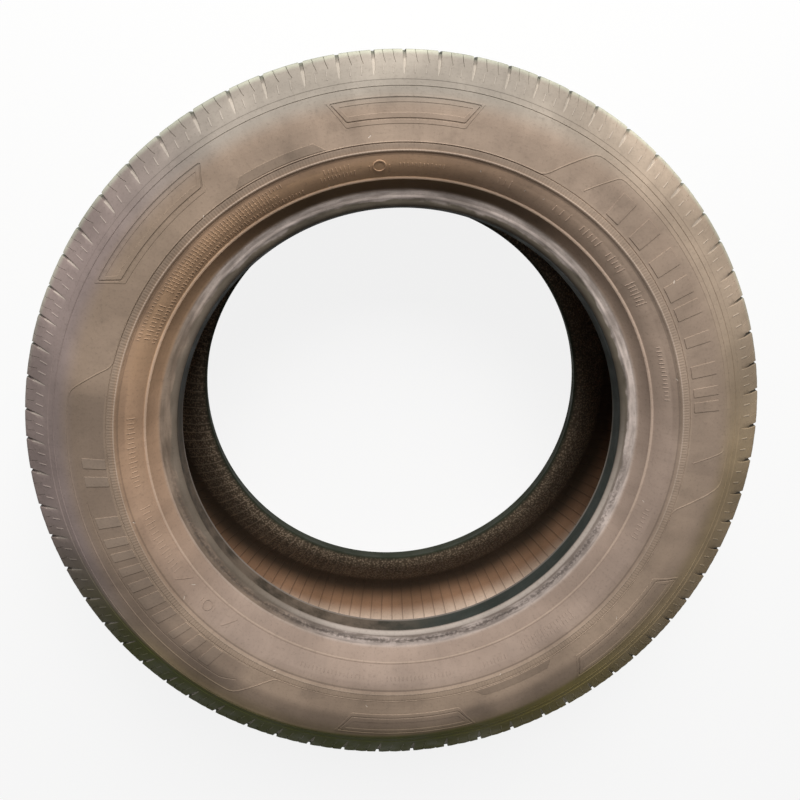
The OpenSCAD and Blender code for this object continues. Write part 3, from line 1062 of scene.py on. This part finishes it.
def tread_colour(g, at):
    """The running surface, dark, and painted paler grey-green as painted light on the side facing the
    lamp.
    """
    tread = g.mix(at.blotch, (0.05, 0.047, 0.036), (0.11, 0.1, 0.08))
    # painted light: paler grey-green on the side of the tyre that faces the lamp
    return g.mix(g.step(at.sin, -0.1, 0.8, 0.0, 0.6), tread, (0.3, 0.31, 0.25))


def bead_colour(g, at):
    """The bead's base, bare and dark and painted darker as shade where it is turned from the lamp, with
    a brown side and a painted highlight along the toe where it faces the lamp.
    """
    bare = g.mix(at.streak, (0.014, 0.018, 0.014), (0.045, 0.052, 0.047))
    # painted shade: the bare base is darker on the side of the tyre where it is turned from the lamp
    bare = g.shade(bare, g.step(at.sin, -0.4, 0.3, 1.0, 0.55))
    warm = g.mix(g.step(at.blotch, 0.35, 0.65), (0.03, 0.023, 0.015), (0.125, 0.095, 0.072))
    base = g.mix(at.near(222, 0.45, 0.92), bare, warm)
    # painted highlight: a pale line along the toe on the side of the tyre where it faces the lamp
    toe = g.times(g.step(at.h, 64.5, 63.2, 0.0, 0.6), g.step(at.sin, 0.3, -0.3))
    base = g.mix(toe, base, (0.25, 0.215, 0.19))
    return g.mix(g.step(at.z, 108.0, 100.0), base, (0.02, 0.024, 0.014))


def inside_colour(g, at):
    """Dust over the liner, dark above the lower bead, with a leathery belt beside it."""
    dust = g.mix(at.cloud, (0.2, 0.112, 0.062), (0.34, 0.205, 0.13))
    dust = g.mix(g.step(at.r, 283.0, 306.0), dust, (0.58, 0.46, 0.37))
    dark = g.mix(g.step(at.r, 258.0, 282.0), (0.045, 0.03, 0.019), dust)
    leather = g.mix(g.step(at.cell, 0.6, 0.15), (0.075, 0.055, 0.037), (0.24, 0.185, 0.13))
    colour = g.mix(g.step(at.r, 246.0, 236.0), dark, leather)
    line = g.step(at.spokes(LINER_RIBS), 0.9, 0.98, 0.0, 0.5)
    colour = g.mix(line, colour, (0.06, 0.042, 0.03))
    rib = g.times(g.step(at.spokes(LINER_RIBS), 0.8, 0.94), g.step(at.r, 246.0, 238.0))
    rib = g.times(rib, g.step(at.cos, 0.1, -0.6, 0.2, 0.65))
    return g.mix(rib, colour, (0.28, 0.215, 0.155))


def outside_colour(g, at):
    """The whole outside, from the tread over the wall and down to the toe of the bead."""
    dust = dust_colour(g, at)
    colour = g.mix(g.step(at.r, 251.0, 243.0), dust, lower_wall_colour(g, at))
    colour = stains_and_painted_shade(g, at, colour)
    ragged = g.math("MULTIPLY_ADD", g.math("ADD", at.blotch, at.streak), 9.0, at.r)
    heel = g.step(ragged, 219.2, 216.6)
    seat = g.mix(heel, flange_colour(g, at), heel_colour(g, at))
    colour = g.mix(g.step(at.r, FLANGE_R + 3.7, FLANGE_R + 0.2), colour, seat)
    colour = g.mix(g.step(at.r, 281.0, 300.0), colour, shoulder_colour(g, at))
    colour = wall_shade_and_bare_rubber(g, at, colour)
    crown = g.times(g.step(at.h, 85.0, 80.0), g.step(at.r, 300.0, 310.0))
    colour = g.mix(crown, colour, tread_colour(g, at))
    base = g.step(g.math("ADD", at.r, at.h), 281.0, 279.2)
    return g.mix(base, colour, bead_colour(g, at))


def slots_marked(g, at, colour):
    """Pale ramps where the slots run out, and painted shade where they are deep."""
    side = at.near(348, 0.6, 0.9)
    ramp = g.times(g.step(at.relief, -1.7, -1.45), g.step(at.relief, -0.1, -0.35))
    ramp = g.times(ramp, at.ring(311.0, 323.5, 2.0), g.step(side, 0.0, 1.0, 0.42, 0.0))
    colour = g.mix(ramp, colour, (0.55, 0.49, 0.42))
    # painted shade: the deep parts of the slots painted near black, and the shallower parts too on one
    # side
    shallow = g.times(side, g.step(at.relief, -0.8, -1.5))
    slot_shade = g.math("MAXIMUM", g.step(at.relief, -1.3, -2.4), shallow)
    return g.mix(g.times(slot_shade, 0.9), colour, (0.018, 0.017, 0.012))


def lines_marked(g, at, colour):
    """Pale and dark marks of the mesh, and painted highlights on the ridges of the rim line and the mid
    rib, with painted shade at the mid rib's foot.
    """
    colour = g.mix(g.step(at.tone, 0.0, 1.0, 0.0, 0.9), colour, (0.035, 0.03, 0.024))
    # painted highlight: faint pale marks on the raised ticks and bars are painted stronger on the side
    # facing the lamp; the pale chips stay pale on every side
    kept = g.math("MAXIMUM", g.step(at.tone, -0.5, -0.9), g.step(at.sin, -0.7, 0.1, 0.4, 1.0))
    pale = g.times(g.step(at.tone, 0.0, -1.0, 0.0, 0.9), kept)
    colour = g.mix(pale, colour, (0.62, 0.55, 0.48))
    # painted highlight along the crest of the rim line
    crest = at.ring(RIM_LINE_R - 0.5, RIM_LINE_R + 0.7, 0.5)
    colour = g.mix(g.times(crest, 0.45), colour, (0.55, 0.42, 0.33))
    # painted highlight on the mid rib's inner edge, strongest on the side facing the lamp
    ridge = at.ring(RIB_IN + 0.5, RIB_IN + 1.2, 0.4)
    ridge = g.times(ridge, g.step(at.sin, -0.7, 0.1, 0.15, 0.38))
    colour = g.mix(ridge, colour, (0.6, 0.49, 0.41))
    # painted shade: a dark line at the foot of the mid rib's inner step
    foot = at.ring(RIB_IN - 2.5, RIB_IN - 1.7, 0.5)
    return g.mix(g.times(foot, 0.35), colour, (0.07, 0.052, 0.04))


def rubber_colour(g, at):
    colour = outside_colour(g, at)
    colour = lines_marked(g, at, slots_marked(g, at, colour))
    colour = g.mix(at.inner, colour, inside_colour(g, at))
    colour = g.mix(g.step(at.radial, 0.45, 0.75, 0.0, 0.07), colour, (0.09, 0.07, 0.055))
    colour = g.mix(g.step(at.grain, 0.5, 0.8, 0.0, 0.25), colour, (0.06, 0.048, 0.038))
    return g.shade(colour, g.step(at.patch, 0.36, 0.64, 0.9, 1.1))


def rubber_relief(g, at):
    """Grain, rings and scuffs outside, teeth on the mid rib, ribs and hide inside."""
    grain = g.bump(at.grain, 0.3, 0.0004)
    rings = g.bump(at.rings, 0.22, 0.0006, Normal=grain)
    chafed = g.times(at.streak, g.step(at.r, 222.0, 218.0))
    scuffs = g.bump(chafed, 0.14, 0.0012, Normal=rings)
    serrated = g.times(at.spokes(MID_RIB_TEETH), at.ring(RIB_IN + 0.9, RIB_OUT - 0.7, 0.6))
    teeth = g.bump(serrated, 0.35, 0.0005, Normal=scuffs)
    ribs = g.times(g.step(at.spokes(LINER_RIBS), 0.8, 0.95), at.inner)
    hide = g.times(at.cell, at.inner, g.step(at.r, 250.0, 242.0, 0.0, -1.0))
    return g.bump(g.math("ADD", ribs, hide), 0.6, 0.001, Normal=teeth)


def rubber():
    material = bpy.data.materials.new("worn_rubber")
    g = Graph(material)
    at = Places(g)
    g.set("Base Color", rubber_colour(g, at))
    g.set("Roughness", g.step(at.blotch, 0.3, 0.7, 0.66, 0.88))
    g.set("Specular IOR Level", 0.18)
    g.set("Normal", rubber_relief(g, at))
    return material


# ---------------------------------------------------------------- setting, in metres
FLOOR_GLOW = 0.86       # share of white in what the camera sees of the floor; the rest takes the shadow
SKY_LIGHT = 0.1         # strength of the world's light on the tyre
LAMP_AT = (0.1, 1.69, 1.56)
LAMP_AIM = (0, 0, 0.15)
CAMERA_AT = (-0.0506, 0.2329, 0.8449)
CAMERA_TILT = (-11.12, -4.14)   # degrees about X and Y away from looking straight down


def shown(g):
    """1 for the camera's rays and for what gloss and glass would show, 0 for other rays."""
    path = g.node("ShaderNodeLightPath", {}).node.outputs
    bounced = g.math("MAXIMUM", path["Is Glossy Ray"], path["Is Transmission Ray"])
    return g.math("MAXIMUM", path["Is Camera Ray"], bounced)


def pale_floor():
    material = bpy.data.materials.new("pale_floor")
    g = Graph(material)
    g.set("Base Color", (0.8, 0.8, 0.8))
    g.set("Roughness", 0.9)
    glow = g.node("ShaderNodeEmission", {"Strength": 1.0})
    share = g.times(shown(g), FLOOR_GLOW)
    blend = g.node("ShaderNodeMixShader", {0: share, 1: g.shader.outputs[0], 2: glow})
    g.put(blend, g.tree.nodes["Material Output"].inputs["Surface"])
    return material


def floor():
    a = 12.0    # how far the floor reaches each way
    mesh = bpy.data.meshes.new("floor")
    mesh.from_pydata([(-a, -a, 0), (a, -a, 0), (a, a, 0), (-a, a, 0)], [], [(0, 1, 2, 3)])
    mesh.materials.append(pale_floor())
    plane = bpy.data.objects.new("floor", mesh)
    bpy.context.collection.objects.link(plane)


def world():
    sky = bpy.data.worlds.new("studio")
    g = Graph(sky, "Background")
    g.set("Color", (1, 1, 1))
    g.set("Strength", g.step(shown(g), 0.0, 1.0, SKY_LIGHT, 1.0))
    bpy.context.scene.world = sky


def lamp():
    data = bpy.data.lights.new("key", "AREA")
    data.size = 1.2
    data.energy = 67.0
    data.color = (1.0, 0.985, 0.96)
    light = bpy.data.objects.new("key", data)
    light.location = LAMP_AT
    light.rotation_euler = (Vector(LAMP_AIM) - Vector(LAMP_AT)).to_track_quat("-Z", "Y").to_euler()
    bpy.context.collection.objects.link(light)


def camera():
    data = bpy.data.cameras.new("camera")
    data.sensor_width = 36.0
    data.lens = 34.08
    data.shift_y = -0.1
    eye = bpy.data.objects.new("camera", data)
    eye.location = CAMERA_AT
    eye.rotation_euler = [math.radians(turn) for turn in (*CAMERA_TILT, 0.0)]
    bpy.context.collection.objects.link(eye)
    bpy.context.scene.camera = eye


# ---------------------------------------------------------------- build
def tyre():
    skin = Skin()
    lay_tread(skin)
    lay_wall(skin, 1)
    lay_wall(skin, -1)
    lay_inside(skin)
    piece = bpy.data.objects.new("worn_tyre", skin.mesh("worn_tyre"))
    bpy.context.collection.objects.link(piece)
    piece.data.materials.append(rubber())
    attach(piece, "root")
    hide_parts("tyre")


camera()
world()
floor()
lamp()
tyre()

bpy.context.scene.view_settings.view_transform = "Standard"
bpy.context.view_layer.update()
